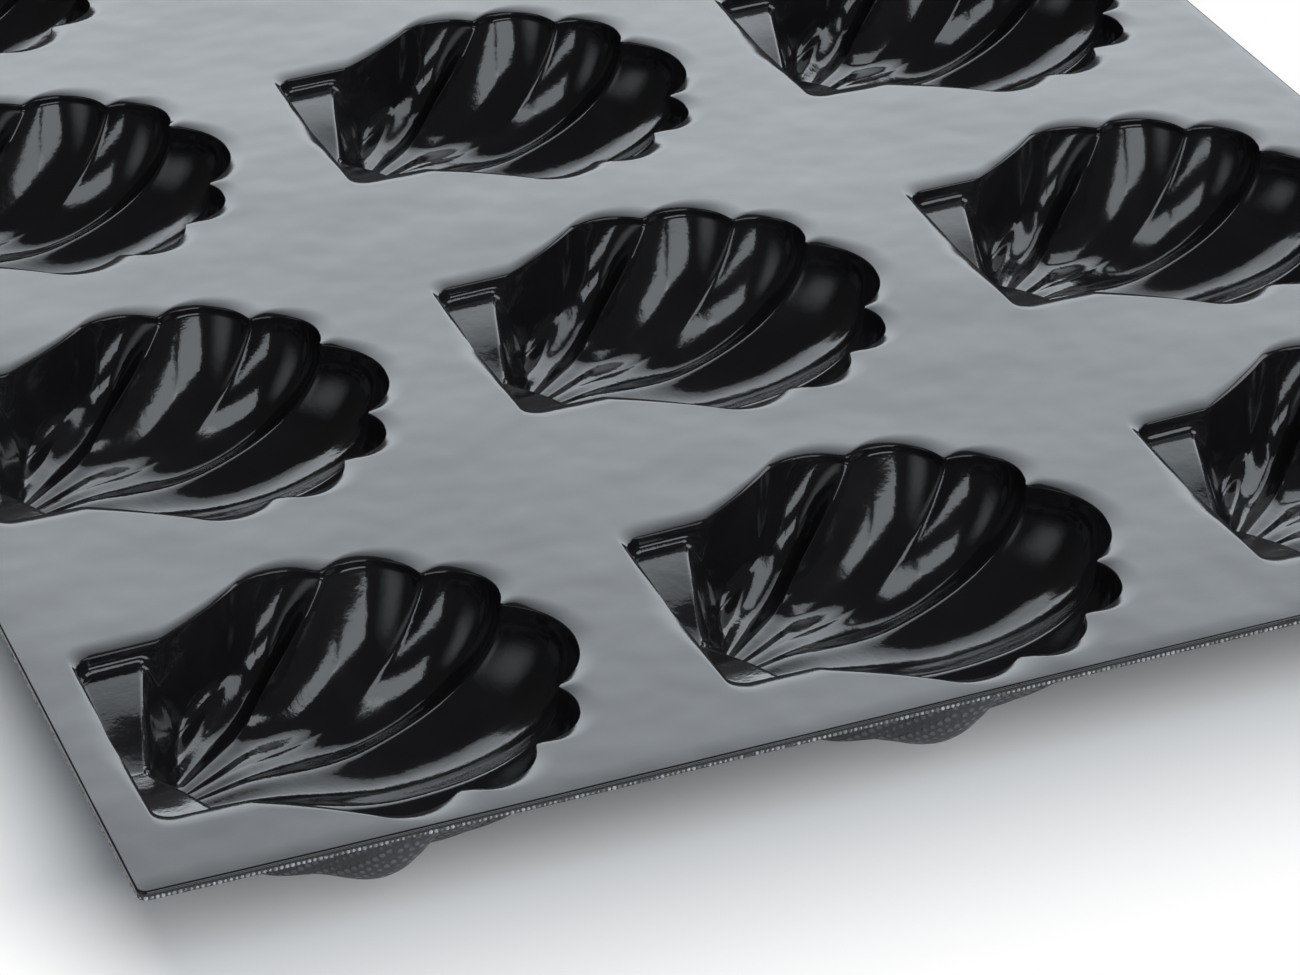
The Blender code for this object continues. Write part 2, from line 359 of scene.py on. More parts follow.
def round_corner(before, corner, after, radius):
    """Points of the arc that rounds one corner, with the last one left out."""
    back = (before - corner) / np.hypot(*(before - corner))
    onward = (after - corner) / np.hypot(*(after - corner))
    half = math.acos(float(np.dot(back, onward))) / 2
    middle = corner + (back + onward) / np.hypot(*(back + onward)) * radius / math.sin(half)
    first = corner + back * radius / math.tan(half) - middle
    last = corner + onward * radius / math.tan(half) - middle
    start = math.atan2(first[1], first[0])
    turn = (math.atan2(last[1], last[0]) - start + math.pi) % (2 * math.pi) - math.pi
    angles = start + turn * np.arange(CORNER_POINTS) / CORNER_POINTS
    return middle + radius * np.stack((np.cos(angles), np.sin(angles)), axis=1)


def shell_rim(shell):
    """The rim of one shell, counter-clockwise from the near hinge corner, as an array."""
    side = []
    for index, reach in enumerate(shell.rib_reach):
        angle = shell.centre_angle / 2 + shell.flute_angle * index
        side.append(np.array((shell.umbo + reach * math.cos(angle), reach * math.sin(angle))))
    far_corner = np.array((0.0, shell.hinge_half))
    near_corner = np.array((0.0, -shell.hinge_half))
    near = [point * (1, -1) for point in reversed(side)]
    notches = near + side
    rises = list(shell.lobe_rise)[::-1] + [shell.centre_rise] + list(shell.lobe_rise)
    corner_far = round_corner(side[-1], far_corner, near_corner, shell.hinge_corner)
    corner_near = round_corner(far_corner, near_corner, near[0], shell.hinge_corner)
    ear_start = corner_near[-1] + (corner_near[-1] - corner_near[-2])
    hinge_start = corner_far[-1] + (corner_far[-1] - corner_far[-2])
    lobes = [bowed_line(start, end, rise, count)
             for rise, count, start, end in zip(rises, LOBE_POINTS, notches, notches[1:])]
    rim = np.concatenate([
        corner_near, bowed_line(ear_start, near[0], 0.0, EAR_POINTS), *lobes,
        bowed_line(side[-1], corner_far[0], 0.0, EAR_POINTS), corner_far,
        bowed_line(hinge_start, corner_near[0], 0.0, HINGE_POINTS)])
    for _ in range(RIM_ROUNDS):
        rim = 0.5 * rim + 0.25 * (np.roll(rim, 1, axis=0) + np.roll(rim, -1, axis=0))
    return rim


def along_ribs(shell, angle, values):
    """A value at an angle from the middle, between those for the middle and for each rib."""
    places = np.r_[0.0, shell.centre_angle / 2 + shell.flute_angle * np.arange(len(values) - 1)]
    return np.interp(angle, places, values)


def softened(distance, radius):
    """A distance from a line, rounded off close to it."""
    return np.sqrt(distance ** 2 + radius ** 2) - radius


def fade(value, start, width):
    """0 up to the start, 1 past the width and a smooth step between them."""
    share = np.clip((value - start) / width, 0.0, 1.0)
    return share * share * (3 - 2 * share)


def shell_depth(shell, radius, angle, reach, foot):
    """Depth of the cup below its lip, at a radius and an angle from the umbo.

    The fan is a bowl whose wall follows the rim, with a round-bottomed flute between each two
    ribs. Near the umbo the ribs share one level, which reaches further in the side flutes. The
    shoulder drops from the ears into the bowl. The foot is how far from the rim the wall starts.
    """
    across_x = shell.umbo + radius * np.cos(angle)
    to_side = shell.hinge_half - np.abs(radius * np.sin(angle))
    angle = np.abs(angle)
    first = shell.centre_angle / 2
    to_rim = (reach - radius) * np.maximum(np.sin(angle), np.abs(np.cos(angle)))
    to_wall = np.clip(np.minimum(across_x + foot, to_rim) / shell.fillet, 0.0, 1.0)
    inwards = np.maximum(to_side, 0.0)
    ear = (shell.ear_depth + (shell.ear_fall + shell.ear_curve * inwards) * inwards
           + shell.ear_dimple * np.exp(-(radius / shell.dimple_radius) ** 2))
    ear = np.maximum(ear, 0.0) * np.sqrt(1 - (1 - to_wall) ** 2)
    share = np.clip(radius / reach, 0.0, 1.0)
    in_middle = angle < first
    flute = np.where(in_middle, 0.5 + angle / shell.centre_angle,
                     (angle - first) / shell.flute_angle)
    number = np.where(in_middle, 0, 1 + np.clip(flute.astype(int), 0, len(shell.flute_sag) - 2))
    across = flute % 1.0
    width = radius * np.where(in_middle, shell.centre_angle, shell.flute_angle) + 1e-9
    to_rib = softened(np.minimum(across, 1 - across) * width, shell.crest_round)
    place = np.clip(to_rib / width, 0.0, 0.5)
    hollow = np.where(angle < shell.shoulder_angle,
                      np.maximum(4 * place * (1 - place), 1e-6) ** shell.flute_power, 0.0)
    steepness = along_ribs(shell, angle, shell.rib_steepness) * (1 - shell.flute_slope * hollow)
    wall = (1 - share ** steepness) ** along_ribs(shell, angle, shell.wall_rounding)
    far = fade(share, *SAG_BLEND)
    near_sag = np.array(shell.near_sag)[number]
    sag = (near_sag + (np.array(shell.flute_sag)[number] - near_sag) * far) * hollow * width
    rib = along_ribs(shell, angle, shell.rib_depth)
    turned = fade(angle, *SIDE_FLUTES)
    near = ((1 - fade(radius, shell.level_radius * (1 + 0.5 * turned),
                      shell.level_fade * (1 - 0.5 * turned)))
            * (1 - fade(angle, shell.level_angle, LEVEL_ANGLE_FADE)))
    level = shell.level_depth + sag
    bowl = (rib + sag) * wall
    bowl = bowl + (level - bowl) * shell.level_share * near
    past = radius * np.sin(np.clip(shell.shoulder_angle - angle, -math.pi / 2, math.pi / 2))
    drop = 1 - np.exp(-(np.maximum(past + SHOULDER_LEAD, 0.0) / shell.shoulder_width)
                      ** shell.shoulder_power)
    ear = np.where(past > 0, np.minimum(ear, bowl), ear)
    return ear + (np.maximum(bowl, ear) - ear) * drop


def lip_profile(shell):
    """Offsets from the rim and drops of the rings between the flange and the wall."""
    dip = np.linspace(0.0, 1.0, DIP_RINGS)
    dip_end = 0.5 * shell.dip_width * math.tan(shell.dip_slope)
    slopes = np.linspace(shell.dip_slope, shell.lip_end, LIP_RINGS + 1)[1:]
    across = shell.lip_radius * (np.sin(slopes) - math.sin(shell.dip_slope))
    down = shell.lip_radius * (math.cos(shell.dip_slope) - np.cos(slopes))
    foot = shell.lip_outside - across[-1]
    offsets = np.r_[shell.flange, shell.lip_outside + shell.dip_width * (1 - dip),
                    shell.lip_outside - across,
                    foot - shell.collar / math.tan(shell.lip_end) * COLLAR_SHARES]
    lip_drop = dip_end + down[-1]
    drops = np.r_[0.0, dip_end * dip ** 2, dip_end + down,
                  lip_drop + shell.collar * COLLAR_SHARES]
    return offsets, drops, lip_drop


def cup_grid(shell):
    """The food side of one cup as rings of points, from its flange inwards, and its pole."""
    rim = shell_rim(shell)
    arms = rim - (shell.umbo, 0.0)
    reach = np.hypot(arms[:, 0], arms[:, 1])
    angle = np.arctan2(arms[:, 1], arms[:, 0])
    offsets, drops, lip_drop = lip_profile(shell)
    radii = [reach + offset for offset in offsets]
    depths = [np.full(len(rim), drop) for drop in drops]
    inner_reach = reach + offsets[-1]
    power = along_ribs(shell, np.abs(angle), shell.rib_steepness)
    fraction = np.linspace(0.0, WALL_SHARE, WALL_RINGS + 1)[1:] ** WALL_SPACING
    rounding = along_ribs(shell, np.abs(angle), shell.wall_rounding)
    shares = [(1 - level ** (1 / rounding)) ** (1 / power) for level in fraction]
    shares += [shares[-1] * step for step in np.linspace(1.0, 0.0, FLOOR_RINGS + 2)[1:-1]]
    for share in shares:
        radius = inner_reach * share
        deep = shell_depth(shell, radius, angle, inner_reach, offsets[-1])
        depths.append(lip_drop + shell.collar + deep * (1 - shell.collar / shell.floor_depth))
        radii.append(radius)
    radii = np.array(radii)
    depths = np.minimum(np.array(depths), shell.floor_depth)
    grid = np.stack((shell.umbo + radii * np.cos(angle), radii * np.sin(angle), -depths), axis=2)
    pole_depth = lip_drop + shell_depth(shell, 0.0, 0.0, 1.0, offsets[-1])
    pole = np.array((shell.umbo, 0.0, -pole_depth))
    return grid, pole


def smooth_normals(grid):
    """Upward normals of a grid of rings, averaged over their neighbours."""
    across = np.gradient(grid, axis=0)
    along = (np.roll(grid, -1, axis=1) - np.roll(grid, 1, axis=1)) / 2
    normals = np.cross(along, across)
    normals /= np.linalg.norm(normals, axis=2, keepdims=True) + 1e-15
    normals *= np.sign(normals[:, :, 2:3] + 1e-12)
    for _ in range(NORMAL_ROUNDS):
        wide = (np.roll(normals, 1, axis=1) + np.roll(normals, -1, axis=1)) / 2
        deep = normals.copy()
        deep[1:-1] = (normals[:-2] + normals[2:]) / 2
        normals = (2 * normals + wide + deep) / 4
    return normals / np.linalg.norm(normals, axis=2, keepdims=True)


def sink_grid(grid, pole, normals, distance):
    """The surface that lies a wall's thickness under another one.

    The laminate is stretched thinner the deeper it was pressed. Its two outer rings go straight
    down, to meet the sheet.
    """
    thinned = 1 - STRETCH * fade(-grid[:, :, 2:], 0.0, STRETCH_DEPTH)
    lower = grid - normals * distance * thinned
    lower[:2] = grid[:2] - (0.0, 0.0, distance)
    return lower, pole - (0.0, 0.0, distance)


def shell_solid(upper, upper_pole, lower, lower_pole):
    """Points and faces of the closed solid between two cup surfaces."""
    rings, count = upper.shape[:2]
    size = rings * count
    points = np.concatenate((upper.reshape(-1, 3), [upper_pole],
                             lower.reshape(-1, 3), [lower_pole]))
    numbers = np.arange(size).reshape(rings, count)
    quads = [ring_quads(outer, inner) for outer, inner in zip(numbers, numbers[1:])]
    below = [quad[:, ::-1] + size + 1 for quad in quads]
    edge = ring_quads(numbers[0] + size + 1, numbers[0])
    last = numbers[-1]
    fan = np.stack((last, np.roll(last, -1), np.full(count, size)), axis=1)
    fan_below = fan[:, ::-1] + size + 1
    return points, [np.concatenate(quads + below + [edge]), np.concatenate((fan, fan_below))]


# The soft sheet

def sag_at(x, y, sheet):
    """How far the soft sheet hangs below level at a place. The waves are radians per metre."""
    wave = (np.sin(x * 31.0 + 0.7 + 1.3 * np.sin(y * 17.0))
            + np.sin(y * 37.0 + 1.9 + 0.9 * np.sin(x * 23.0 + 0.4))
            + 0.6 * np.sin((x + y) * 53.0 + 2.3))
    return sheet.sag * np.clip((wave / 2.6 - 1) / 2, -1.0, 0.0)


def settled(points, sheet):
    """The points moved down with the soft sheet, and less the nearer they are to the floor."""
    moved = points.copy()
    moved[..., 2] += sag_at(points[..., 0], points[..., 1], sheet) * points[..., 2] / DECK_Z
    return moved


def cup_names():
    """Row, column and hinge centre of each cup, from the boxes of the CAD cups."""
    for row in range(1, ROWS + 1):
        for column in range(1, COLUMNS + 1):
            low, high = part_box(f"silicone_cup_row{row}_column{column}")
            yield row, column, np.array((low.x + CAD_FLANGE, (low.y + high.y) / 2, 0.0))


def build_cups(prefix, layer, upper, lower, material):
    """One closed solid for each cup of a layer, as a list of pieces."""
    sheet = bpy.context.scene.mat_laminate
    points, faces = shell_solid(*upper, *lower)
    points = points + (0.0, 0.0, DECK_Z)
    pieces = []
    for row, column, hinge in cup_names():
        name = f"{prefix}_row{row}_column{column}"
        mesh = mesh_from_faces(name, settled(points + hinge, sheet), faces)
        node_name = f"{layer}_row{row}_column{column}"
        pieces.append(add_piece(name, mesh, material, [node_name]))
    return pieces


def rounded_rectangle(half_length, half_width, radius, step):
    """The outline of the sheet, counter-clockwise, with points about a step apart."""
    turns = max(4, round(math.pi / 2 * radius / step))
    arcs = []
    for quarter, (x, y) in enumerate(((1, 1), (-1, 1), (-1, -1), (1, -1))):
        middle = np.array((x * (half_length - radius), y * (half_width - radius)))
        angles = math.pi / 2 * (quarter + np.arange(turns + 1) / turns)
        arcs.append(middle + radius * np.stack((np.cos(angles), np.sin(angles)), axis=1))
    points = []
    for arc, next_arc in zip(arcs, arcs[1:] + arcs[:1]):
        start, end = arc[-1], next_arc[0]
        count = round(np.hypot(*(end - start)) / step)
        points += [arc, start + (end - start) * (np.arange(1, count) / count)[:, None]]
    return np.concatenate(points)


def inside_holes(points, holes, umbo, margin):
    """Which of the points lie in one of the shell-shaped holes, or nearer than a margin."""
    inside = np.zeros(len(points), dtype=bool)
    for hinge, ring in holes:
        arms = ring - hinge - (umbo, 0.0)
        angles = np.arctan2(arms[:, 1], arms[:, 0])
        order = np.argsort(angles)
        away = points - hinge - (umbo, 0.0)
        reach = np.interp(np.arctan2(away[:, 1], away[:, 0]), angles[order],
                          np.hypot(arms[order, 0], arms[order, 1]), period=2 * math.pi)
        inside |= np.hypot(away[:, 0], away[:, 1]) < reach + margin
    return inside


def deck_triangles(outline, holes, shell, sheet):
    """Points, triangles, and the point numbers of the outline and of each hole of a sheet."""
    step = sheet.deck_step
    xs = np.arange(-SHEET_HALF_LENGTH + step, SHEET_HALF_LENGTH - step / 2, step)
    ys = np.arange(-SHEET_HALF_WIDTH + step, SHEET_HALF_WIDTH - step / 2, step)
    inner = np.stack(np.meshgrid(xs, ys), axis=2).reshape(-1, 2)
    inner = inner[~inside_holes(inner, holes, shell.umbo, HOLE_CLEARANCE * step)]
    rings = [outline] + [ring for hinge, ring in holes]
    ends = np.cumsum([len(ring) for ring in rings])
    spans = np.split(np.arange(ends[-1]), ends[:-1])
    edges = [edge for span in spans for edge in zip(span.tolist(), np.roll(span, -1).tolist())]
    flat = np.concatenate(rings + [inner])
    found = delaunay_2d_cdt([Vector(place) for place in flat], edges, [], 0, MERGE_DISTANCE)
    points = np.array([tuple(place) for place in found[0]])
    triangles = np.array(found[2])
    middles = points[triangles].mean(axis=1)
    outside = inside_holes(middles, holes, shell.umbo, 0.0)
    outside |= np.abs(middles[:, 0]) > SHEET_HALF_LENGTH
    renumber = np.full(len(flat), -1)
    for new, olds in enumerate(found[3]):
        for old in olds:
            renumber[old] = new
    triangles = triangles[~outside]
    a, b, c = (points[triangles[:, index]] for index in range(3))
    area = np.cross(b - a, c - a)
    triangles[area < 0] = triangles[area < 0][:, ::-1]
    triangles = triangles[np.abs(area) > LEAST_AREA]
    return points, triangles, [renumber[span] for span in spans]


def sheet_solid(outline, edge_profile, thickness, top, holes, shell, sheet):
    """Points and faces of a sheet with shell-shaped holes and a profile round its outer edge.

    The profile lists (outward step, drop) for each ring between the top and the bottom face.
    """
    flat, triangles, spans = deck_triangles(outline, holes, shell, sheet)
    count = len(flat)
    upper = np.column_stack((flat, np.full(count, top)))
    lower = np.column_stack((flat, np.full(count, top - thickness)))
    points = [upper, lower]
    faces_three = [triangles, triangles[:, ::-1] + count]
    quads = [ring_quads(span, span + count)[:, ::-1] for span in spans[1:]]
    ring = flat[spans[0]]
    tangent = np.roll(ring, -1, axis=0) - np.roll(ring, 1, axis=0)
    outward = np.stack((tangent[:, 1], -tangent[:, 0]), axis=1)
    outward /= np.linalg.norm(outward, axis=1, keepdims=True)
    above = spans[0]
    start = 2 * count
    for step, drop in edge_profile:
        step = np.broadcast_to(step, len(ring))
        drop = np.broadcast_to(drop, len(ring))
        points.append(np.column_stack((ring + outward * step[:, None], top - drop)))
        below = np.arange(start, start + len(ring))
        quads.append(ring_quads(below, above))
        above = below
        start += len(ring)
    quads.append(ring_quads(spans[0] + count, above))
    return np.concatenate(points), [np.concatenate(quads), np.concatenate(faces_three)]


def cup_holes(shell):
    """The hinge centre of each cup and the outer ring of its flange, in their places."""
    flange_ring = cup_grid(shell)[0][0][:, :2]
    return [(hinge[:2], flange_ring + hinge[:2]) for row, column, hinge in cup_names()]


# Shader maths

class Wire:
    """One output of a node. Arithmetic on it adds Math nodes to its tree."""

    def __init__(self, tree, socket=None):
        self.tree = tree
        self.socket = socket

    def node(self, kind, settings, values, output=0):
        """Add a node, set its settings, then its sockets, and give the wire of one output."""
        made = self.tree.nodes.new(kind)
        for name, value in settings.items():
            setattr(made, name, value)
        for name, value in values.items():
            if isinstance(value, Wire):
                self.tree.links.new(value.socket, made.inputs[name])
            else:
                made.inputs[name].default_value = value
        return Wire(self.tree, made.outputs[output])

    def split(self):
        """The X, Y and Z of this vector."""
        parts = self.node("ShaderNodeSeparateXYZ", {}, {"Vector": self}).socket.node
        return [Wire(self.tree, part) for part in parts.outputs]

    def maths(self, operation, *others):
        values = dict(enumerate((self, *others)))
        return self.node("ShaderNodeMath", {"operation": operation}, values)

    def reversed_maths(self, operation, other):
        return self.node("ShaderNodeMath", {"operation": operation}, {0: other, 1: self})

    def __add__(self, other):
        return self.maths("ADD", other)

    __radd__ = __add__

    def __sub__(self, other):
        return self.maths("SUBTRACT", other)

    def __rsub__(self, other):
        return self.reversed_maths("SUBTRACT", other)

    def __mul__(self, other):
        return self.maths("MULTIPLY", other)

    __rmul__ = __mul__

    def __abs__(self):
        return self.maths("ABSOLUTE")

    def band(self, low, high):
        """0 below low, 1 above high and a smooth step between them."""
        return self.node("ShaderNodeMapRange", {"interpolation_type": "SMOOTHSTEP"},
                         {"Value": self, "From Min": low, "From Max": high})

    def noise(self, scale, detail=2.0, roughness=0.5, distortion=0.0):
        """Noise with this vector as its place."""
        return self.node("ShaderNodeTexNoise", {}, {
            "Vector": self, "Scale": scale, "Detail": detail, "Roughness": roughness,
            "Distortion": distortion})

    def mixed(self, first, second):
        """A colour between two, with this value as the share of the second."""
        return self.node("ShaderNodeMix", {"data_type": "RGBA"},
                         {0: self, 6: first, 7: second}, output=2)


def new_material(name):
    """A material, its Principled shader and the wire of the object's own coordinates."""
    material = bpy.data.materials.new(name)
    material.use_nodes = True
    tree = material.node_tree
    place = Wire(tree).node("ShaderNodeTexCoord", {}, {}, output="Object")
    return material, tree.nodes["Principled BSDF"], place


def join(wire, shader, name):
    wire.tree.links.new(wire.socket, shader.inputs[name])


def emboss(height, shader):
    """Let a height in metres turn the shader's normal."""
    join(height.node("ShaderNodeBump", {}, {"Strength": 1.0, "Distance": 1.0, "Height": height},
                     output="Normal"), shader, "Normal")


def silicone_material(finish):
    """Glossy black silicone with a faint bloom, and a grainy skin inside the cups."""
    material, shader, place = new_material("black_silicone_finish")
    hollow = place.node("ShaderNodeAttribute", {"attribute_name": "hollow"}, {}, output="Fac")
    bloom = place.noise(*BLOOM_NOISE).band(0.42, 0.72)
    specks = place.noise(*SPECK_NOISE).band(0.74, 0.80)
    colour = (bloom * 0.5 + specks * 0.5).mixed((*finish.silicone_dark, 1.0),
                                                 (*finish.silicone_pale, 1.0))
    join(colour, shader, "Base Color")
    smear = place.noise(*SMEAR_NOISE).band(0.35, 0.70)
    join(finish.silicone_rough + smear * 0.035 + bloom * 0.02, shader, "Roughness")
    grain = place.noise(*GRAIN_NOISE) * GRAIN_HEIGHT * hollow
    wander = place.noise(*WANDER_NOISE) * WANDER_HEIGHT
    fine = place.noise(*FINE_NOISE) * FINE_HEIGHT
    emboss(grain + wander + fine, shader)
    shader.inputs["IOR"].default_value = finish.silicone_ior
    return material


def woven_height(place, pitch):
    """Height of the knuckles of a plain weave, from 0 to 1, on a face of any direction."""
    x, y, z = [(part * (2 * math.pi / pitch)).maths("COSINE") for part in place.split()]
    return (x * y + y * z + z * x).band(-0.6, 1.4)


def cloth_material(finish, sheet):
    """Grey glass cloth soaked in silicone, with its weave standing out."""
    material, shader, place = new_material("glass_cloth_finish")
    knuckles = woven_height(place, sheet.weave)
    patches = place.noise(*PATCH_NOISE)
    share = knuckles.band(0.25, 0.95) * (patches * 0.5 + 0.6)
    colour = share.mixed((*finish.cloth_dark, 1.0), (*finish.cloth_pale, 1.0))
    join(colour, shader, "Base Color")
    join(finish.cloth_rough - knuckles * 0.15, shader, "Roughness")
    grain = place.noise(*CLOTH_GRAIN_NOISE) * CLOTH_GRAIN_HEIGHT
    emboss(knuckles * KNUCKLE_HEIGHT + grain, shader)
    return material


def thread_material(finish):
    """Pale cut ends of the glass threads."""
    material, shader, place = new_material("cut_thread_finish")
    worn = place.noise(*WORN_NOISE).band(0.35, 0.75)
    colour = worn.mixed((*finish.thread, 1.0), (*finish.cloth_dark, 1.0))
    join(colour, shader, "Base Color")
    join(worn * 0.2 + 0.45, shader, "Roughness")
    return material


# Operators

def material_for(name, make, *arguments):
    """The material of that name, made once."""
    return bpy.data.materials.get(name) or make(*arguments)


def coat_finish():
    return material_for("black_silicone_finish", silicone_material,
                        bpy.context.scene.mat_finish)


def cloth_finish():
    return material_for("glass_cloth_finish", cloth_material, bpy.context.scene.mat_finish,
                        bpy.context.scene.mat_laminate)


def surfaces():
    """The faces of a cup: food side, underside of the coat, and both sides of the cloth."""
    shell = bpy.context.scene.mat_shell
    sheet = bpy.context.scene.mat_laminate
    grid, pole = cup_grid(shell)
    normals = smooth_normals(grid)
    coat = sink_grid(grid, pole, normals, sheet.coat)
    cloth_top = sink_grid(grid, pole, normals, sheet.coat + sheet.layer_gap)
    total = sheet.coat + sheet.layer_gap + sheet.cloth
    cloth_low = sink_grid(grid, pole, normals, total)
    keep_above(cloth_low, -DECK_Z)
    keep_above(cloth_top, -DECK_Z + 0.5 * sheet.cloth)
    keep_above(coat, -DECK_Z + 0.5 * sheet.cloth + sheet.layer_gap)
    return (grid, pole), coat, cloth_top, cloth_low


def keep_above(surface, lowest):
    """Lift the points of a surface that lie lower than this."""
    surface[0][:, :, 2] = np.maximum(surface[0][:, :, 2], lowest)


class MAT_OT_silicone_cups(bpy.types.Operator):
    """Build the twelve cups of the silicone coat"""
    bl_idname = "mat.silicone_cups"
    bl_label = "Silicone cups"

    def execute(self, context):
        top, coat = surfaces()[:2]
        for piece in build_cups("coat_cup", "silicone_cup", top, coat, coat_finish()):
            mark_hollow(piece.data)
        return {"FINISHED"}


def mark_hollow(mesh):
    """Store how deep inside a cup each point lies, from 0 on the deck to 1."""
    heights = np.empty(len(mesh.vertices) * 3, dtype=np.float32)
    mesh.vertices.foreach_get("co", heights)
    depth = DECK_Z - heights[2::3]
    attribute = mesh.attributes.new("hollow", "FLOAT", "POINT")
    attribute.data.foreach_set("value", np.clip((depth - HOLLOW_START) / HOLLOW_FADE, 0.0, 1.0))


class MAT_OT_silicone_sheet(bpy.types.Operator):
    """Build the flat sheet of the silicone coat"""
    bl_idname = "mat.silicone_sheet"
    bl_label = "Silicone sheet"

    def execute(self, context):
        shell = context.scene.mat_shell
        sheet = context.scene.mat_laminate
        holes = cup_holes(shell)
        inset = sheet.edge_inset + sheet.edge_round
        outline = rounded_rectangle(SHEET_HALF_LENGTH - inset, SHEET_HALF_WIDTH - inset,
                                    max(sheet.corner - inset, LEAST_CORNER), EDGE_STEP)
        turns = np.linspace(0.0, math.pi / 2, EDGE_RINGS + 1)[1:]
        profile = [(sheet.edge_round * math.sin(turn), sheet.edge_round * (1 - math.cos(turn)))
                   for turn in turns]
        profile.append((sheet.edge_round, sheet.coat))
        points, faces = sheet_solid(outline, profile, sheet.coat, DECK_Z, holes, shell, sheet)
        mesh = mesh_from_faces("coat_sheet", settled(points, sheet), faces)
        add_piece("coat_sheet", mesh, coat_finish(), [SHEET_NODE])
        return {"FINISHED"}


class MAT_OT_cloth_cups(bpy.types.Operator):
    """Build the twelve cups of the woven backing"""
    bl_idname = "mat.cloth_cups"
    bl_label = "Cloth cups"

    def execute(self, context):
        cloth_top, cloth_low = surfaces()[2:]
        build_cups("cloth_cup", "glass_cloth_cup", cloth_top, cloth_low, cloth_finish())
        return {"FINISHED"}


class MAT_OT_cloth_sheet(bpy.types.Operator):
    """Build the flat sheet of the woven backing, with its wavy cut edge"""
    bl_idname = "mat.cloth_sheet"
    bl_label = "Cloth sheet"

    def execute(self, context):
        shell = context.scene.mat_shell
        sheet = context.scene.mat_laminate
        holes = cup_holes(shell)
        inset = sheet.edge_inset + CLOTH_INSET
        outline = rounded_rectangle(SHEET_HALF_LENGTH - inset, SHEET_HALF_WIDTH - inset,
                                    sheet.corner - inset, sheet.weave / 5)
        steps = np.hypot(*np.diff(outline, axis=0, append=outline[:1]).T)
        length = np.cumsum(steps)
        wave = np.sin(2 * math.pi * length / sheet.weave)
        fray = np.sin(length * FRAY_WAVES[0]) * np.sin(length * FRAY_WAVES[1] + 1.0)
        top = DECK_Z - sheet.coat - sheet.layer_gap
        profile = [(step + step_wave * wave + step_fray * fray,
                    sheet.cloth * (share + share_wave * wave))
                   for share, share_wave, step, step_wave, step_fray in CUT_EDGE]
        points, faces = sheet_solid(outline, profile, sheet.cloth, top, holes, shell, sheet)
        mesh = mesh_from_faces("cloth_sheet", settled(points, sheet), faces)
        add_piece("cloth_sheet", mesh, cloth_finish(), [CLOTH_NODE])
        return {"FINISHED"}


def thread_tree(material):
    """Geometry Nodes that set a row of cut thread ends along an edge path."""
    tree = bpy.data.node_groups.new("cut_threads", "GeometryNodeTree")
    face = tree.interface
    for name, kind in (("Geometry", "Geometry"), ("Pitch", "Float"), ("Thread radius", "Float"),
                       ("Seed", "Int")):
        face.new_socket(name, in_out="INPUT", socket_type="NodeSocket" + kind)
    face.new_socket("Geometry", in_out="OUTPUT", socket_type="NodeSocketGeometry")
    root = Wire(tree)

    def given(name):
        return root.node("NodeGroupInput", {}, {}, output=name)

    curve = root.node("GeometryNodeMeshToCurve", {}, {"Mesh": given("Geometry")})
    row = root.node("GeometryNodeResampleCurve", {"mode": "LENGTH"},
                    {"Curve": curve, "Length": given("Pitch")})
    tangent = root.node("GeometryNodeInputTangent", {}, {})
    outward = root.node("ShaderNodeVectorMath", {"operation": "CROSS_PRODUCT"},
                        {0: tangent, 1: (0.0, 0.0, 1.0)})
    turn = root.node("FunctionNodeAlignRotationToVector", {"axis": "Z"}, {"Vector": outward})
    size = root.node("FunctionNodeRandomValue", {"data_type": "FLOAT"},
                     {2: THREAD_SCALES[0], 3: THREAD_SCALES[1], "Seed": given("Seed")},
                     output=1)
    tuft = root.node("GeometryNodeMeshUVSphere", {},
                     {"Segments": 8, "Rings": 5, "Radius": given("Thread radius")})
    many = root.node("GeometryNodeInstanceOnPoints", {}, {
        "Points": row, "Instance": tuft, "Rotation": turn, "Scale": size})
    real = root.node("GeometryNodeRealizeInstances", {}, {0: many})
    finish = root.node("GeometryNodeSetMaterial", {}, {"Geometry": real, "Material": material})
    last = tree.nodes.new("NodeGroupOutput")
    tree.links.new(finish.socket, last.inputs[0])
    return tree


def socket_identifier(tree, name):
    """The identifier of a tree's input, by its name."""
    return next(item.identifier for item in tree.interface.items_tree
                if item.in_out == "INPUT" and item.name == name)


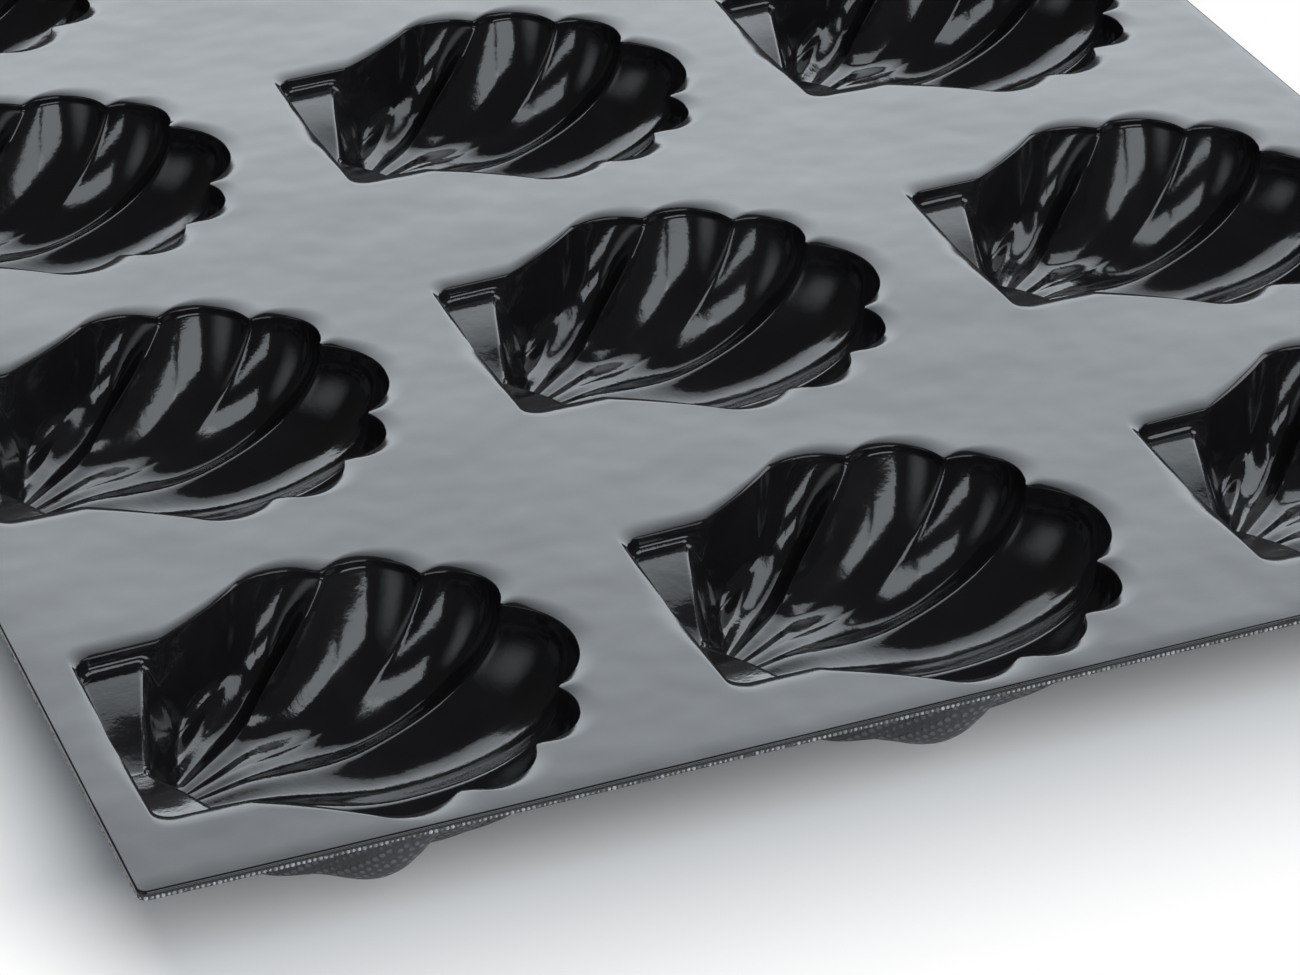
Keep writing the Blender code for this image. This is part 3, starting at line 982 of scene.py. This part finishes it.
class MAT_OT_cut_threads(bpy.types.Operator):
    """Set the cut ends of the glass threads round the edge of the sheet"""
    bl_idname = "mat.cut_threads"
    bl_label = "Cut threads"

    def execute(self, context):
        sheet = context.scene.mat_laminate
        inset = sheet.edge_inset + THREAD_INSET
        outline = rounded_rectangle(SHEET_HALF_LENGTH - inset, SHEET_HALF_WIDTH - inset,
                                    sheet.corner - inset, EDGE_STEP)
        height = DECK_Z - sheet.coat - THREAD_DROP_SHARE * sheet.cloth
        ring = settled(np.column_stack((outline, np.full(len(outline), height))), sheet)
        path = bpy.data.meshes.new("edge_path")
        count = len(ring)
        path.from_pydata(ring.tolist(), [(index, (index + 1) % count) for index in range(count)],
                         [])
        carrier = bpy.data.objects.new("edge_path", path)
        context.scene.collection.objects.link(carrier)
        material = material_for("cut_thread_finish", thread_material, context.scene.mat_finish)
        tree = thread_tree(material)
        modifier = carrier.modifiers.new("threads", "NODES")
        modifier.node_group = tree
        for name, value in (("Pitch", sheet.weave / 2), ("Thread radius", THREAD_RADIUS),
                            ("Seed", THREAD_SEED)):
            modifier[socket_identifier(tree, name)] = value
        context.view_layer.update()
        graph = context.evaluated_depsgraph_get()
        mesh = bpy.data.meshes.new_from_object(carrier.evaluated_get(graph))
        bpy.data.objects.remove(carrier, do_unlink=True)
        if not mesh.polygons:
            raise RuntimeError("the row of cut threads came out empty")
        mesh.name = "cut_threads"
        add_piece("cut_threads", mesh, material, [CLOTH_NODE])
        return {"FINISHED"}


def area_lamp(stage, name, place, target, width, height, radiance, top_share, soft_edge):
    """A softbox that gives a set radiance, a share of it at its top, and less at its edges."""
    light = bpy.data.lights.new(name, "AREA")
    light.shape = "RECTANGLE"
    light.size = width
    light.size_y = height
    light.energy = getattr(stage, radiance) * math.pi * width * height
    light.color = LAMP_TINT
    light.use_nodes = True
    emission = light.node_tree.nodes["Emission"]
    root = Wire(light.node_tree)
    across, up = root.node("ShaderNodeNewGeometry", {}, {}, output="Parametric").split()[:2]
    strength = 1 - up.band(0.1, 1.0) * (1 - top_share)
    if soft_edge:
        for place_share in (across, up):
            strength = strength * (0.5 - abs(place_share - 0.5)).band(0.0, soft_edge)
    join(strength, emission, "Strength")
    lamp = bpy.data.objects.new(name, light)
    lamp.location = place
    lamp.rotation_euler = (Vector(target) - Vector(place)).to_track_quat("-Z", "Y").to_euler()
    bpy.context.scene.collection.objects.link(lamp)


def floor_material(stage):
    """Pale floor with a painted glow for the camera and in reflections: full away from the mat, it
    fades in towards the mat, which paints a soft shadow round it and brightens the floor a little
    way under its edges.
    """
    material, shader, place = new_material("studio_floor_painted_glow")
    shader.inputs["Base Color"].default_value = (*stage.floor_colour, 1.0)
    shader.inputs["Roughness"].default_value = FLOOR_ROUGHNESS
    x, y = place.split()[:2]
    # Painted light and shade: the share of glow rises with distance past the sheet's edges, so the
    # floor is painted bright away from the mat and painted darker close to it
    before = (abs(y) - (SHEET_HALF_WIDTH - GLOW_FADE_FRONT[0])) * GLOW_FADE_FRONT[1]
    beside = (abs(x) - (SHEET_HALF_LENGTH - GLOW_FADE_SIDES[0])) * GLOW_FADE_SIDES[1]
    glow_share = (before.maths("MAXIMUM", 0.0) + beside.maths("MAXIMUM", 0.0)).maths("MINIMUM", 1.0)
    camera, glossy, clear = (place.node("ShaderNodeLightPath", {}, {}, output=f"Is {kind} Ray")
                             for kind in ("Camera", "Glossy", "Transmission"))
    seen = (camera + glossy + clear).maths("MINIMUM", 1.0)
    glow = place.node("ShaderNodeEmission", {}, {"Color": (1.0, 1.0, 1.0, 1.0), "Strength": 1.0})
    mixed = place.node("ShaderNodeMixShader", {}, {
        0: glow_share * seen, 1: Wire(place.tree, shader.outputs[0]), 2: glow})
    join(mixed, place.tree.nodes["Material Output"], "Surface")
    return material


class MAT_OT_stage(bpy.types.Operator):
    """Build the floor, the lamps, the world and the camera"""
    bl_idname = "mat.stage"
    bl_label = "Stage"

    def execute(self, context):
        stage = context.scene.mat_stage
        corners = FLOOR_HALF_SIZE * np.array([(-1, -1, 0), (1, -1, 0), (1, 1, 0), (-1, 1, 0)])
        mesh = mesh_from_faces("floor", corners, [np.array([[0, 1, 2, 3]])])
        mesh.materials.append(floor_material(stage))
        floor = bpy.data.objects.new("floor", mesh)
        context.scene.collection.objects.link(floor)
        for lamp in LAMPS:
            area_lamp(stage, *lamp)
        world = bpy.data.worlds.new("studio")
        world.use_nodes = True
        background = world.node_tree.nodes["Background"]
        background.inputs["Color"].default_value = (1.0, 1.0, 1.0, 1.0)
        background.inputs["Strength"].default_value = WORLD_LIGHT
        context.scene.world = world
        data = bpy.data.cameras.new("photo_camera")
        data.lens = stage.lens
        data.sensor_width = 36.0
        data.clip_start = 0.01
        camera = bpy.data.objects.new("photo_camera", data)
        camera.location = stage.camera_place
        camera.rotation_euler = stage.camera_turn
        context.scene.collection.objects.link(camera)
        context.scene.camera = camera
        context.scene.view_settings.view_transform = "Standard"
        return {"FINISHED"}


class MAT_PT_panel(bpy.types.Panel):
    """Lists the steps of the mat"""
    bl_idname = "MAT_PT_panel"
    bl_label = "Baking mat"
    bl_space_type = "VIEW_3D"
    bl_region_type = "UI"
    bl_category = "Baking mat"

    def draw(self, context):
        for step in STEPS:
            self.layout.operator(step.bl_idname)


SETTINGS = {"mat_shell": ShellSettings, "mat_laminate": LaminateSettings,
            "mat_finish": FinishSettings, "mat_stage": StageSettings}
STEPS = (MAT_OT_silicone_sheet, MAT_OT_silicone_cups, MAT_OT_cloth_sheet, MAT_OT_cloth_cups,
         MAT_OT_cut_threads, MAT_OT_stage)


def register():
    for name, group in SETTINGS.items():
        bpy.utils.register_class(group)
        setattr(bpy.types.Scene, name, PointerProperty(type=group))
    for step in STEPS:
        bpy.utils.register_class(step)
    bpy.utils.register_class(MAT_PT_panel)


def unregister():
    bpy.utils.unregister_class(MAT_PT_panel)
    for step in reversed(STEPS):
        bpy.utils.unregister_class(step)
    for name, group in SETTINGS.items():
        delattr(bpy.types.Scene, name)
        bpy.utils.unregister_class(group)


def main():
    register()
    bpy.ops.mat.silicone_sheet()
    bpy.ops.mat.silicone_cups()
    bpy.ops.mat.cloth_sheet()
    bpy.ops.mat.cloth_cups()
    bpy.ops.mat.cut_threads()
    bpy.ops.mat.stage()


if __name__ == "__main__":
    main()
